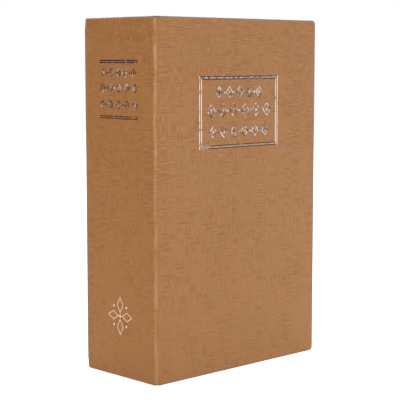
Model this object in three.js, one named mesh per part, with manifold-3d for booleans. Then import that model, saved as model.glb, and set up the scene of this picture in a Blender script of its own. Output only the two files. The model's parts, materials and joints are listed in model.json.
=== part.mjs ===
// Book safe: a small steel box with a hinged lid and a cam lock, held in a frame of false pages and bound
// in a case of three covered boards, so that it stands on a shelf like any hardback.
// Millimetres. +X runs from the spine to the fore-edge, +Y from the front cover to the back cover and
// +Z from the tail to the head. The origin is on the shelf, under the middle of the book.

import * as THREE from "three";
import { mergeVertices } from "three/addons/utils/BufferGeometryUtils.js";
import Module from "manifold-3d";

const wasm = await Module();
wasm.setup();

// The case: three greyboards in one sheet of embossed paper
const caseWidth = 115;
const caseHeight = 180;
const caseThickness = 55;
const boardThickness = 2;
const wrapThickness = 0.3;
const liningThickness = 0.2;
const glueLine = 0.1;
const boardEdgeRadius = 0.9;
const boardCornerRadius = 2;
const jointRadius = 2;
const jointGap = 0.6;
const jointStripThickness = 1;
const seam = 0.1;
const turnIn = 12;
const liningMargin = 4;
const liningJointMargin = 2;

// The false pages: a base plate that carries the box, with ribbed rails glued round three of its sides
const square = 3;
const coverClearance = 0.3;
const railThickness = 2.5;
const pagePitch = 1;
const pageGrooveDepth = 0.35;
const pageCrestShare = 0.55;
const baseThickness = 3;
const spineRailThickness = 1.2;

// The box and its lid: folded sheet steel
const sheet = 0.8;
const boxCornerRadius = 3;
const boxFoldRadius = 1.4;
const boxClearance = 0.3;
const lidRecess = 2;
const rimClearance = 0.3;
const skirtDepth = 6;
const skirtClearance = 0.4;
const railClearance = 0.6;

// The lid's hinge: knuckles rolled from the two sheets, on one pin
const pinRadius = 1;
const pinClearance = 0.15;
const knuckleCount = 7;
const knuckleGap = 0.5;
const hingeInset = 5;
const pinHeadRadius = 1.6;
const pinHeadLength = 0.6;

// The cam lock, measured from the outer face of the lid
const lockInset = 15;
const lockFlangeRadius = 9.5;
const lockFlangeThickness = 1.5;
const lockFlangeChamfer = 0.8;
const lockBodyRadius = 7.5;
const lockBodyLength = 15;
const lockFlat = 6.5;
const lockFit = 0.3;
const plugHeadRadius = 6.4;
const plugHeadThickness = 0.9;
const plugRadius = 5.6;
const plugClearance = 0.25;
const plugProud = 0.4;
const keywayWidth = 1.5;
const keywayHeight = 7.6;
const keywayDepth = 11;
const washerThickness = 0.6;
const washerRadius = 9.6;
const nutAcrossFlats = 19;
const nutThickness = 2.6;
const camThickness = 2;
const camLength = 13;
const camHubRadius = 6.2;
const camTipWidth = 9;
const camCornerRadius = 2;
const tailSide = 6;
const camWasherRadius = 4.8;
const camWasherThickness = 0.8;
const camScrewHeadRadius = 3.5;
const camScrewHeadHeight = 2;
const camScrewRadius = 1.6;
const camScrewLength = 5;
const seatGap = 0.1;

// The catch that the cam turns under
const catchLength = 26;
const catchSheet = 1.2;
const catchHeight = 11;
const catchClearance = 0.3;
const camPassing = 2;
const catchRivetRadius = 1.4;
const catchRivetHeadRadius = 2.4;
const catchRivetHeadHeight = 0.8;
const catchRivetInset = 5;

// The screws that hold the box on the base plate
const screwRadius = 1.4;
const screwHeadRadius = 2.8;
const screwHeadHeight = 1.6;
const screwInset = 8;
const screwBite = 2.2;
const holeClearance = 0.2;

// Planes that the pieces share
const spineFace = -caseWidth / 2;
const foreEdge = caseWidth / 2;
const frontFace = -caseThickness / 2;
const backFace = caseThickness / 2;
const boardBuild = 2 * (wrapThickness + glueLine) + boardThickness;
const spineInner = spineFace + boardBuild;
const backInner = backFace - boardBuild;
const frontInner = frontFace + boardBuild + glueLine + liningThickness;
const spineStart = frontFace + jointRadius;
const spineEnd = backFace - jointRadius;
const coverStart = spineInner + jointGap;
const blockFront = frontInner + coverClearance;
const blockBack = backInner - glueLine;
const blockSpine = spineInner + glueLine;
const blockFore = foreEdge - square;
const blockTail = square;
const blockHead = caseHeight - square;
const baseFace = blockBack - baseThickness;
const cavitySpine = blockSpine + spineRailThickness;
const cavityFore = blockFore - railThickness;
const cavityTail = blockTail + railThickness;
const cavityHead = blockHead - railThickness;
const lidFace = blockFront + lidRecess;
const lidInner = lidFace + sheet;
const rim = lidInner + rimClearance;
const lidGrip = railClearance + sheet + skirtClearance;
const boxSpine = cavitySpine + boxClearance;
const boxFore = cavityFore - lidGrip;
const boxTail = cavityTail + lidGrip;
const boxHead = cavityHead - lidGrip;
const boxBack = baseFace - glueLine;
const boxFloor = boxBack - sheet;
const knuckleBore = pinRadius + pinClearance;
const barrelRadius = knuckleBore + sheet;
const hingeX = boxSpine + barrelRadius;
const hingeY = lidFace + barrelRadius;
const knuckleReach = barrelRadius + knuckleGap;
const hingeTail = boxTail + hingeInset;
const hingeHead = boxHead - hingeInset;
const knucklePitch = (hingeHead - hingeTail) / knuckleCount;
const middleZ = caseHeight / 2;
const lockX = boxFore - sheet - lockInset;
const plugEnd = lockBodyLength + plugProud;
const camFront = plugEnd + seatGap;
const camBack = camFront + camThickness;
const far = 2 * (caseWidth + caseHeight + caseThickness);

// Materials

const leatherette = new THREE.MeshStandardMaterial({ color: 0xad7c54, roughness: 0.62, metalness: 0 });
const greyboard = new THREE.MeshStandardMaterial({ color: 0x8f8a80, roughness: 0.95, metalness: 0 });
const endpaper = new THREE.MeshStandardMaterial({ color: 0xe4dccb, roughness: 0.9, metalness: 0 });
const pagePlastic = new THREE.MeshStandardMaterial({ color: 0xe9dfc6, roughness: 0.7, metalness: 0 });
const blackSteel = new THREE.MeshStandardMaterial({ color: 0x1d1d1f, roughness: 0.5, metalness: 0.3 });
const bareSteel = new THREE.MeshStandardMaterial({ color: 0xa9abad, roughness: 0.35, metalness: 0.9 });
const nickel = new THREE.MeshStandardMaterial({ color: 0xc9c9c6, roughness: 0.2, metalness: 1 });

// Shapes and solids

const axes = {
  x: new THREE.Vector3(1, 0, 0),
  y: new THREE.Vector3(0, 1, 0),
  z: new THREE.Vector3(0, 0, 1),
};
const after = { x: "y", y: "z", z: "x" };
const edgeSteps = 3;
const cornerSteps = 4;
const roundSteps = 12;

// A closed geometry as a solid that can be cut and joined.
function solid(geometry) {
  geometry.deleteAttribute("normal");
  geometry.deleteAttribute("uv");
  const merged = mergeVertices(geometry, 1e-4);
  const mesh = new wasm.Mesh({
    numProp: 3,
    vertProperties: merged.attributes.position.array,
    triVerts: new Uint32Array(merged.index.array),
  });
  return new wasm.Manifold(mesh);
}

function box(x0, x1, y0, y1, z0, z1) {
  const geometry = new THREE.BoxGeometry(x1 - x0, y1 - y0, z1 - z0);
  geometry.translate((x0 + x1) / 2, (y0 + y1) / 2, (z0 + z1) / 2);
  return solid(geometry);
}

// A rectangle with round corners, from (u0, v0) to (u1, v1).
function roundedRectangle(u0, u1, v0, v1, radius) {
  const shape = new THREE.Shape();
  shape.moveTo(u0 + radius, v0);
  shape.lineTo(u1 - radius, v0);
  shape.absarc(u1 - radius, v0 + radius, radius, -Math.PI / 2, 0);
  shape.lineTo(u1, v1 - radius);
  shape.absarc(u1 - radius, v1 - radius, radius, 0, Math.PI / 2);
  shape.lineTo(u0 + radius, v1);
  shape.absarc(u0 + radius, v1 - radius, radius, Math.PI / 2, Math.PI);
  shape.lineTo(u0, v0 + radius);
  shape.absarc(u0 + radius, v0 + radius, radius, Math.PI, 1.5 * Math.PI);
  return shape;
}

function circle(radius) {
  return new THREE.Shape().absarc(0, 0, radius, 0, 2 * Math.PI);
}

function polygon(points) {
  return new THREE.Shape(points.map(([u, v]) => new THREE.Vector2(u, v)));
}

// A prism of a shape along one axis, with its end edges rounded by edge. The shape's own two axes are the
// next two in the order x, y, z, x, so a prism along y is drawn in z and x.
function prism(axis, shape, from, to, edge = 0, steps = cornerSteps) {
  const geometry = new THREE.ExtrudeGeometry(shape, {
    depth: to - from - 2 * edge,
    curveSegments: steps,
    bevelEnabled: edge > 0,
    bevelThickness: edge,
    bevelSize: edge,
    bevelOffset: -edge,
    bevelSegments: edgeSteps,
  });
  geometry.translate(0, 0, from + edge);
  const second = after[axis];
  geometry.applyMatrix4(new THREE.Matrix4().makeBasis(axes[second], axes[after[second]], axes[axis]));
  return solid(geometry);
}

// A turned piece about the y axis, from a profile of [radius, y] that starts and ends on the axis.
function turned(profile, segments = 2 * roundSteps) {
  return solid(new THREE.LatheGeometry(profile.map(([r, y]) => new THREE.Vector2(r, y)), segments));
}

// Hangs a solid, drawn in the group's own frame, on that group as a named mesh.
function hang(group, name, piece, material) {
  const mesh = piece.getMesh();
  const geometry = new THREE.BufferGeometry();
  const positions = new Float32Array(mesh.numVert * 3);
  for (let i = 0; i < mesh.numVert; i += 1) {
    positions.set(mesh.vertProperties.subarray(i * mesh.numProp, i * mesh.numProp + 3), i * 3);
  }
  geometry.setAttribute("position", new THREE.BufferAttribute(positions, 3));
  geometry.setIndex(new THREE.BufferAttribute(new Uint32Array(mesh.triVerts), 1));
  geometry.computeVertexNormals();
  const made = new THREE.Mesh(geometry, material);
  made.name = name;
  group.add(made);
}

// The case

// The whole case as one block, taken in by inset all round, with the rounded joints down its spine.
function caseBlock(inset, from, to, edge) {
  const shape = roundedRectangle(
    spineFace + inset,
    foreEdge - inset,
    frontFace + inset,
    backFace - inset,
    jointRadius - inset,
  );
  return prism("z", shape, from, to, edge);
}

// A cover's slab between two faces, taken in by inset all round. It runs on past the joint, to be cut there.
function coverSlab(y0, y1, inset) {
  const shape = roundedRectangle(
    inset,
    caseHeight - inset,
    spineFace - boardCornerRadius,
    foreEdge - inset,
    boardCornerRadius - inset,
  );
  return prism("y", shape, y0 + inset, y1 - inset, boardEdgeRadius - inset);
}

// The spine's slab, taken in by inset at its faces and its head and tail.
function spineSlab(inset, y0, y1) {
  const shape = roundedRectangle(
    inset,
    caseHeight - inset,
    spineFace + inset,
    spineInner - inset,
    boardEdgeRadius - inset,
  );
  return prism("y", shape, y0, y1);
}

const boardInset = wrapThickness + glueLine;

function coverBoard(y0, y1) {
  const beyondJoint = box(coverStart, far, -far, far, -far, far);
  return coverSlab(y0, y1, boardInset).intersect(beyondJoint);
}

// The paper on a cover: over its outer face and three edges, and turned in on its inner face.
function coverWrap(y0, y1, innerSide) {
  const beyondJoint = box(coverStart, far, -far, far, -far, far);
  const middle = (y0 + y1) / 2;
  const opening = box(
    -far,
    foreEdge - turnIn,
    innerSide > 0 ? middle : -far,
    innerSide > 0 ? far : middle,
    turnIn,
    caseHeight - turnIn,
  );
  return coverSlab(y0, y1, 0)
    .intersect(beyondJoint)
    .subtract(coverSlab(y0, y1, wrapThickness))
    .subtract(opening);
}

function spineWrap() {
  const opening = box(
    (spineFace + spineInner) / 2,
    far,
    -far,
    far,
    turnIn,
    caseHeight - turnIn,
  );
  return spineSlab(0, spineStart, spineEnd)
    .subtract(spineSlab(wrapThickness, -far, far))
    .subtract(opening);
}

// The strip of paper and lining that bends round a corner of the case, between the spine and a cover.
function jointStrip(y0, y1) {
  const corner = box(-far, coverStart - seam, y0, y1, -far, far);
  return caseBlock(0, 0, caseHeight, boardEdgeRadius)
    .subtract(caseBlock(jointStripThickness, -far, far, 0))
    .intersect(corner);
}

function buildCase(book, frontCover, coverPivot) {
  const onCover = (piece) => piece.translate([-coverPivot.x, -coverPivot.y, -coverPivot.z]);
  const frontBack = frontFace + boardBuild;
  hang(frontCover, "front_board", onCover(coverBoard(frontFace, frontBack)), greyboard);
  hang(frontCover, "front_wrap", onCover(coverWrap(frontFace, frontBack, 1)), leatherette);
  const frontLining = box(
    coverStart + liningJointMargin,
    foreEdge - liningMargin,
    frontInner - liningThickness,
    frontInner,
    liningMargin,
    caseHeight - liningMargin,
  );
  hang(frontCover, "front_lining", onCover(frontLining), endpaper);

  hang(book, "back_board", coverBoard(backInner, backFace), greyboard);
  hang(book, "back_wrap", coverWrap(backInner, backFace, -1), leatherette);
  const liningTail = turnIn + seam;
  const liningHead = caseHeight - turnIn - seam;
  const backLining = box(
    coverStart + seam,
    foreEdge - turnIn - seam,
    backInner,
    backInner + wrapThickness,
    liningTail,
    liningHead,
  );
  hang(book, "back_lining", backLining, endpaper);

  hang(book, "spine_board", spineSlab(boardInset, spineStart, spineEnd), greyboard);
  hang(book, "spine_wrap", spineWrap(), leatherette);
  const spineLining = box(
    spineInner - wrapThickness,
    spineInner,
    spineStart,
    spineEnd,
    liningTail,
    liningHead,
  );
  hang(book, "spine_lining", spineLining, endpaper);

  hang(book, "front_joint_strip", jointStrip(-far, spineStart - seam), leatherette);
  hang(book, "back_joint_strip", jointStrip(spineEnd + seam, far), leatherette);
}

// The false pages

// The pages' outer form: a stack of rings whose head, tail and fore-edge sides step in at each groove.
function ribbedBlock() {
  const count = Math.max(1, Math.round((blockBack - blockFront) / pagePitch));
  const pitch = (blockBack - blockFront) / count;
  const levels = [];
  for (let i = 0; i < count; i += 1) {
    const y = blockFront + i * pitch;
    levels.push([y, 0], [y + pageCrestShare * pitch, 0]);
    if (i < count - 1) levels.push([y + ((1 + pageCrestShare) / 2) * pitch, pageGrooveDepth]);
  }
  levels.push([blockBack, 0]);

  const positions = [];
  for (const [y, depth] of levels) {
    positions.push(blockSpine, y, blockTail + depth);
    positions.push(blockFore - depth, y, blockTail + depth);
    positions.push(blockFore - depth, y, blockHead - depth);
    positions.push(blockSpine, y, blockHead - depth);
  }
  const faces = [0, 1, 2, 0, 2, 3];
  for (let level = 0; level + 1 < levels.length; level += 1) {
    for (let side = 0; side < 4; side += 1) {
      const a = 4 * level + side;
      const b = 4 * level + ((side + 1) % 4);
      faces.push(a, a + 4, b, b, a + 4, b + 4);
    }
  }
  const last = 4 * (levels.length - 1);
  faces.push(last, last + 2, last + 1, last, last + 3, last + 2);
  const geometry = new THREE.BufferGeometry();
  geometry.setAttribute("position", new THREE.Float32BufferAttribute(positions, 3));
  geometry.setIndex(faces);
  return solid(geometry);
}

const screwPlaces = [
  ["tail_spine", boxSpine + sheet + screwInset, boxTail + sheet + screwInset],
  ["tail_fore", boxFore - sheet - screwInset, boxTail + sheet + screwInset],
  ["head_spine", boxSpine + sheet + screwInset, boxHead - sheet - screwInset],
  ["head_fore", boxFore - sheet - screwInset, boxHead - sheet - screwInset],
];

// The plate that the box is screwed to, with its pilot holes.
function pageBase() {
  let plate = box(
    cavitySpine + glueLine,
    cavityFore - glueLine,
    baseFace,
    blockBack,
    cavityTail + glueLine,
    cavityHead - glueLine,
  );
  const pilot = prism("y", circle(screwRadius + holeClearance), -far, baseFace + screwBite + glueLine);
  for (const [, x, z] of screwPlaces) {
    plate = plate.subtract(pilot.translate([x, 0, z]));
  }
  return plate;
}

// Three rails of ribbed moulding, cut from the pages' outer form and mitred at the two fore-edge corners.
function pageRails() {
  const reach = 2 * railThickness;
  const mitre = cavityFore - glueLine;
  const outlines = {
    tail: [
      [cavityTail, -far],
      [cavityTail, mitre],
      [cavityTail - reach, mitre + reach],
      [cavityTail - reach, -far],
    ],
    fore: [
      [cavityTail, cavityFore],
      [cavityHead, cavityFore],
      [cavityHead + reach, cavityFore + reach],
      [cavityTail - reach, cavityFore + reach],
    ],
    head: [
      [cavityHead, -far],
      [cavityHead, mitre],
      [cavityHead + reach, mitre + reach],
      [cavityHead + reach, -far],
    ],
  };
  const block = ribbedBlock();
  const cut = ([side, outline]) => [side, block.intersect(prism("y", polygon(outline), -far, far))];
  return Object.entries(outlines).map(cut);
}

// The plain rail behind the spine, lower than the others so that the box's hinge has room over it.
function spineRail() {
  return box(
    blockSpine,
    cavitySpine,
    hingeY + knuckleGap,
    blockBack,
    cavityTail + glueLine,
    cavityHead - glueLine,
  );
}

// The steel box

function tube(radius, bore, z0, z1) {
  return prism("z", circle(radius), z0, z1, 0, roundSteps)
    .subtract(prism("z", circle(bore), -far, far, 0, roundSteps))
    .translate([hingeX, hingeY, 0]);
}

// The z ranges of one sheet's knuckles: every second place along the hinge.
function knuckles(first) {
  const places = [];
  for (let i = first; i < knuckleCount; i += 2) {
    const from = hingeTail + i * knucklePitch + knuckleGap / 2;
    places.push([from, from + knucklePitch - knuckleGap]);
  }
  return places;
}

// A tray with round corners and folds, open towards the front.
function tray(inset, front, back) {
  const shape = roundedRectangle(
    boxTail + inset,
    boxHead - inset,
    boxSpine + inset,
    boxFore - inset,
    boxCornerRadius - inset,
  );
  return prism("y", shape, front - boxCornerRadius, back - inset, boxFoldRadius - inset);
}

function steelBox() {
  const aboveRim = box(-far, far, -far, rim, -far, far);
  const hingeSide = box(-far, hingeX + knuckleGap, -far, hingeY + knuckleReach, -far, far);
  let made = tray(0, rim, boxBack)
    .subtract(aboveRim)
    .subtract(tray(sheet, rim - boxCornerRadius, boxBack))
    .subtract(hingeSide);
  for (const [z0, z1] of knuckles(1)) {
    const riser = box(boxSpine, boxSpine + sheet, hingeY, hingeY + knuckleReach + sheet, z0, z1);
    const bore = prism("z", circle(knuckleBore), -far, far, 0, roundSteps).translate([hingeX, hingeY, 0]);
    made = made.add(tube(barrelRadius, knuckleBore, z0, z1).add(riser).subtract(bore));
  }
  for (const [, x, z] of screwPlaces) {
    const hole = prism("y", circle(screwRadius + holeClearance), -far, far);
    made = made.subtract(hole.translate([x, 0, z]));
  }
  for (const z of catchRivetPlaces) {
    const hole = prism("x", circle(catchRivetRadius + holeClearance), lockX, far);
    made = made.subtract(hole.translate([0, catchRivetY, z]));
  }
  return made;
}

function hingePin() {
  const from = hingeTail - knuckleGap;
  const to = hingeHead + knuckleGap;
  const shank = prism("z", circle(pinRadius), from, to, 0, roundSteps);
  const tailHead = prism("z", circle(pinHeadRadius), from - pinHeadLength, from, 0, roundSteps);
  const headHead = prism("z", circle(pinHeadRadius), to, to + pinHeadLength, 0, roundSteps);
  return shank.add(tailHead).add(headHead).translate([hingeX, hingeY, 0]);
}

// The lid

function lidPanel() {
  const outline = (inset) =>
    roundedRectangle(
      boxTail - skirtClearance - sheet + inset,
      boxHead + skirtClearance + sheet - inset,
      boxSpine,
      boxFore + skirtClearance + sheet - inset,
      boxCornerRadius + skirtClearance + sheet - inset,
    );
  const skirtEnd = lidInner + skirtDepth;
  const outer = prism("y", outline(0), lidFace, skirtEnd + boxCornerRadius, boxFoldRadius);
  const inner = prism("y", outline(sheet), lidInner, far, boxFoldRadius - sheet);
  const belowSkirt = box(-far, far, skirtEnd, far, -far, far);
  const hingeSide = box(-far, hingeX + knuckleReach, -far, far, -far, far);
  let made = outer.subtract(inner).subtract(belowSkirt).subtract(hingeSide);
  for (const [z0, z1] of knuckles(0)) {
    const leaf = box(hingeX, hingeX + knuckleReach + sheet, lidFace, lidInner, z0, z1);
    const bore = prism("z", circle(knuckleBore), -far, far, 0, roundSteps).translate([hingeX, hingeY, 0]);
    made = made.add(tube(barrelRadius, knuckleBore, z0, z1).add(leaf).subtract(bore));
  }
  const lockHole = doubleD(lockBodyRadius + lockFit, lockFlat + lockFit, -far, far);
  return made.subtract(lockHole.translate([lockX, 0, middleZ]));
}

// The cam lock, drawn about the y axis with the lid's outer face at y = 0

// A round bar along y with two flats, as the lock's body and its hole in the lid have.
function doubleD(radius, flat, y0, y1) {
  return prism("y", circle(radius), y0, y1, 0, roundSteps).intersect(box(-flat, flat, -far, far, -far, far));
}

function lockHousing() {
  const front = -lockFlangeThickness - seatGap;
  const flange = turned([
    [0, front],
    [lockFlangeRadius - lockFlangeChamfer, front],
    [lockFlangeRadius, front + lockFlangeChamfer],
    [lockFlangeRadius, -seatGap],
    [0, -seatGap],
  ]);
  const bore = prism("y", circle(plugRadius + plugClearance), -far, far, 0, roundSteps);
  const headSeat = prism(
    "y",
    circle(plugHeadRadius + plugClearance),
    -far,
    front + plugHeadThickness + plugClearance,
    0,
    roundSteps,
  );
  return flange
    .add(doubleD(lockBodyRadius, lockFlat, -2 * seatGap, lockBodyLength))
    .subtract(bore)
    .subtract(headSeat);
}

function lockWasher() {
  const y0 = sheet + seatGap;
  return prism("y", circle(washerRadius), y0, y0 + washerThickness, 0, roundSteps).subtract(
    prism("y", circle(lockBodyRadius + lockFit), -far, far, 0, roundSteps),
  );
}

function lockNut() {
  const y0 = sheet + washerThickness + 2 * seatGap;
  const corner = nutAcrossFlats / 2 / Math.cos(Math.PI / 6);
  const points = [];
  for (let i = 0; i < 6; i += 1) {
    points.push([corner * Math.cos((i * Math.PI) / 3), corner * Math.sin((i * Math.PI) / 3)]);
  }
  return prism("y", polygon(points), y0, y0 + nutThickness).subtract(
    prism("y", circle(lockBodyRadius + lockFit), -far, far, 0, roundSteps),
  );
}

function lockPlug() {
  const front = -lockFlangeThickness - seatGap;
  const barrel = turned([
    [0, front],
    [plugHeadRadius, front],
    [plugHeadRadius, front + plugHeadThickness],
    [plugRadius, front + plugHeadThickness],
    [plugRadius, plugEnd],
    [0, plugEnd],
  ]);
  const half = tailSide / 2;
  const tail = box(-half, half, plugEnd - seatGap, camBack, -half, half);
  const keyX = keywayWidth / 2;
  const keyZ = keywayHeight / 2;
  const keyway = box(-keyX, keyX, -far, keywayDepth, -keyZ, keyZ);
  const tapping = prism("y", circle(camScrewRadius + seatGap), camBack - camScrewLength, far, 0, roundSteps);
  return barrel.add(tail).subtract(keyway).subtract(tapping);
}

// The cam at rest points to the head, clear of the catch.
function cam() {
  const halfTip = camTipWidth / 2;
  const tip = roundedRectangle(0, camLength, -halfTip, halfTip, camCornerRadius);
  const half = tailSide / 2 + seatGap;
  return prism("y", circle(camHubRadius), camFront, camBack, 0, roundSteps)
    .add(prism("y", tip, camFront, camBack))
    .subtract(box(-half, half, -far, far, -half, half));
}

function camWasher() {
  const y0 = camBack + seatGap;
  return prism("y", circle(camWasherRadius), y0, y0 + camWasherThickness, 0, roundSteps).subtract(
    prism("y", circle(camScrewRadius + holeClearance), -far, far, 0, roundSteps),
  );
}

// A pan-head screw along y, its head's seat at y = 0, its point towards +y, with a cross recess. The shares
// give the crown, cheek and recess in proportion to the head.
const crownShare = 0.6;
const cheekShare = 0.45;
const recessWidthShare = 0.16;
const recessReachShare = 0.5;

function panScrew(headRadius, headHeight, radius, length) {
  const cheek = cheekShare * headHeight;
  const body = turned(
    [
      [0, -headHeight],
      [crownShare * headRadius, -headHeight],
      [headRadius, -cheek],
      [headRadius, 0],
      [radius, 0],
      [radius, length - radius / 2],
      [radius / 2, length],
      [0, length],
    ],
    roundSteps,
  );
  const width = recessWidthShare * headRadius;
  const reach = recessReachShare * headRadius;
  return body
    .subtract(box(-width, width, -far, -cheek, -reach, reach))
    .subtract(box(-reach, reach, -far, -cheek, -width, width));
}

function camScrew() {
  const seat = camBack + camWasherThickness + 2 * seatGap;
  return panScrew(camScrewHeadRadius, camScrewHeadHeight, camScrewRadius, camScrewLength)
    .rotate([180, 0, 0])
    .translate([0, seat, 0]);
}

// The catch

const catchBack = lidFace + camFront - catchClearance;
const catchWall = boxFore - sheet - seatGap;
const catchReach = lockInset - lockBodyRadius - camPassing;
const catchRivetY = catchBack - catchHeight / 2;
const catchRivetReach = catchLength / 2 - catchRivetInset;
const catchRivetPlaces = [middleZ - catchRivetReach, middleZ + catchRivetReach];

// An angle of sheet: one leg on the box's fore-edge wall, and a lip at its inner end for the cam.
function catchPlate() {
  const profile = polygon([
    [catchWall, catchBack - catchHeight],
    [catchWall, catchBack],
    [catchWall - catchReach, catchBack],
    [catchWall - catchReach, catchBack - catchSheet],
    [catchWall - catchSheet, catchBack - catchSheet],
    [catchWall - catchSheet, catchBack - catchHeight],
  ]);
  let made = prism("z", profile, middleZ - catchLength / 2, middleZ + catchLength / 2);
  for (const z of catchRivetPlaces) {
    const hole = prism("x", circle(catchRivetRadius + holeClearance), -far, far);
    made = made.subtract(hole.translate([0, catchRivetY, z]));
  }
  return made;
}

function catchRivet() {
  const inside = catchWall - catchSheet - seatGap;
  const outside = boxFore + seatGap;
  const head = (x0, x1) => prism("x", circle(catchRivetHeadRadius), x0, x1);
  return prism("x", circle(catchRivetRadius), inside, outside)
    .add(head(inside - catchRivetHeadHeight, inside))
    .add(head(outside, outside + catchRivetHeadHeight));
}

// The assembly

const book = new THREE.Group();

const frontCover = new THREE.Group();
frontCover.position.set(spineFace + wrapThickness, frontFace + wrapThickness, 0);
book.add(frontCover);
buildCase(book, frontCover, frontCover.position);

hang(book, "page_base", pageBase(), pagePlastic);
for (const [side, rail] of pageRails()) {
  hang(book, "page_rail_" + side, rail, pagePlastic);
}
hang(book, "page_rail_spine", spineRail(), pagePlastic);
hang(book, "steel_box", steelBox(), blackSteel);
hang(book, "hinge_pin", hingePin(), bareSteel);
hang(book, "catch_plate", catchPlate(), bareSteel);
catchRivetPlaces.forEach((z, i) => {
  const seat = new THREE.Group();
  seat.position.set(0, catchRivetY, z);
  book.add(seat);
  hang(seat, ["catch_rivet_tail", "catch_rivet_head"][i], catchRivet(), bareSteel);
});
for (const [place, x, z] of screwPlaces) {
  const seat = new THREE.Group();
  seat.position.set(x, boxFloor - seatGap, z);
  book.add(seat);
  const length = sheet + seatGap + glueLine + screwBite;
  const screw = panScrew(screwHeadRadius, screwHeadHeight, screwRadius, length);
  hang(seat, "box_screw_" + place, screw, bareSteel);
}

const lid = new THREE.Group();
lid.position.set(hingeX, hingeY, 0);
book.add(lid);
hang(lid, "lid", lidPanel().translate([-hingeX, -hingeY, 0]), blackSteel);

const lock = new THREE.Group();
lock.position.set(lockX - hingeX, lidFace - hingeY, middleZ);
lid.add(lock);
hang(lock, "lock_housing", lockHousing(), nickel);
hang(lock, "lock_washer", lockWasher(), bareSteel);
hang(lock, "lock_nut", lockNut(), nickel);

const core = new THREE.Group();
lock.add(core);
hang(core, "lock_plug", lockPlug(), nickel);
hang(core, "cam", cam(), bareSteel);
hang(core, "cam_washer", camWasher(), bareSteel);
hang(core, "cam_screw", camScrew(), bareSteel);

export default book;
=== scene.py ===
# Book safe: a hardback's covers and false pages round a steel box with a hinged lid and a cam lock.
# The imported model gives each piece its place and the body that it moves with, this script the looks.

import json
import math

import bpy
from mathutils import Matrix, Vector

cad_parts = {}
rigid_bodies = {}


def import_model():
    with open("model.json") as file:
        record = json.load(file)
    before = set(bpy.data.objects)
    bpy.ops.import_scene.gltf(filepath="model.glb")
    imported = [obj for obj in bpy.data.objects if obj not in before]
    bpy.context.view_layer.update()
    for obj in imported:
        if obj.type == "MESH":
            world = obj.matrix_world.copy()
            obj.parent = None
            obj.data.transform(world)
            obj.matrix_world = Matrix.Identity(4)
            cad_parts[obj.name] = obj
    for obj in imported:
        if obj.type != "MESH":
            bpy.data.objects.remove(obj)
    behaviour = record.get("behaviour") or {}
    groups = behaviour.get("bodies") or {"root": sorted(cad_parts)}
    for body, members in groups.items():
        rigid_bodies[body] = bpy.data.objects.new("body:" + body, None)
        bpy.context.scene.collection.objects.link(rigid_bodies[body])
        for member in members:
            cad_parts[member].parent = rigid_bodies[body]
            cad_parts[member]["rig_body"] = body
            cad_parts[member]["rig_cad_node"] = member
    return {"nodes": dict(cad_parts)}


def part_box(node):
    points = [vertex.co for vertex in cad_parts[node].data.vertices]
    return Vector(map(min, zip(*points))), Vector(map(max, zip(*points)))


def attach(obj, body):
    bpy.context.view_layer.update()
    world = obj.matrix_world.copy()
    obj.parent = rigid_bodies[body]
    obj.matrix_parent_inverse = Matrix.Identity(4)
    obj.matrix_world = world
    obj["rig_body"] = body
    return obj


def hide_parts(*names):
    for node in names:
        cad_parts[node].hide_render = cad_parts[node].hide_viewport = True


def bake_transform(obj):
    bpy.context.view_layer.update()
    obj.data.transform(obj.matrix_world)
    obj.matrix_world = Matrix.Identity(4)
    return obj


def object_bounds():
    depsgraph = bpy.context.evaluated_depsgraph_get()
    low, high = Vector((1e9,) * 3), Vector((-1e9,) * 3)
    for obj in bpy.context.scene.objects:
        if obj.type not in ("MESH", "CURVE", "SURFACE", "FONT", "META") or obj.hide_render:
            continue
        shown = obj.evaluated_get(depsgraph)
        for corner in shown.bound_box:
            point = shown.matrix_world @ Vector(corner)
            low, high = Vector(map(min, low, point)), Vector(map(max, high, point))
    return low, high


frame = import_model()
cad_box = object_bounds()
nodes = frame["nodes"]

# Camera and studio: the book stands on a pale floor against white and is seen past the corner of its
# spine. A soft lamp on the right lights the front cover, a weaker one on the left the spine, and a small
# one by the camera picks out the rounded joint between them. Two more light the back and the top.

camera_place = Vector((-0.457837, -0.478746, 0.159341))
camera_aim = Vector((0.001263, 0.003542, 0.085008))
bpy.ops.object.select_all(action="DESELECT")
bpy.ops.object.camera_add(location=camera_place)
camera = bpy.context.object
camera.rotation_euler = (camera_aim - camera_place).to_track_quat("-Z", "Y").to_euler()
camera.data.lens = 113.34
camera.data.sensor_width = 36
camera.data.dof.use_dof = False
bpy.context.scene.camera = camera
bpy.context.scene.view_settings.view_transform = "Standard"


def soft_lamp(name, place, size, watts, tint=(1, 1, 1)):
    """A square lamp that looks at the middle of the book."""
    bpy.ops.object.select_all(action="DESELECT")
    bpy.ops.object.light_add(type="AREA", location=place)
    lamp = bpy.context.object
    lamp.name = name
    lamp.rotation_euler = (Vector((0, 0, 0.09)) - Vector(place)).to_track_quat("-Z", "Y").to_euler()
    lamp.data.size = size
    lamp.data.energy = watts
    lamp.data.color = tint


soft_lamp("front_cover_lamp", (1.05, -1.15, 0.12), 0.24, 8.9, (0.915, 1.04, 1.1))
soft_lamp("spine_lamp", (-1.5, -0.3, 0.1), 0.2, 3.95)
soft_lamp("joint_lamp", (-0.78, -0.82, 0.2), 0.3, 3.25)
soft_lamp("back_lamp", (0.6, 1.5, 1.0), 1.0, 16)
soft_lamp("top_lamp", (0.15, 0.3, 1.6), 0.5, 9)


def add_node(tree, kind, inputs=(), **settings):
    """Adds a node with its settings. An input is a socket's name or number with a value or an output."""
    made = tree.nodes.new(kind)
    for label, value in settings.items():
        setattr(made, label, value)
    for socket, value in inputs:
        if isinstance(value, bpy.types.NodeSocket):
            tree.links.new(value, made.inputs[socket])
        else:
            made.inputs[socket].default_value = value
    return made


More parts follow.
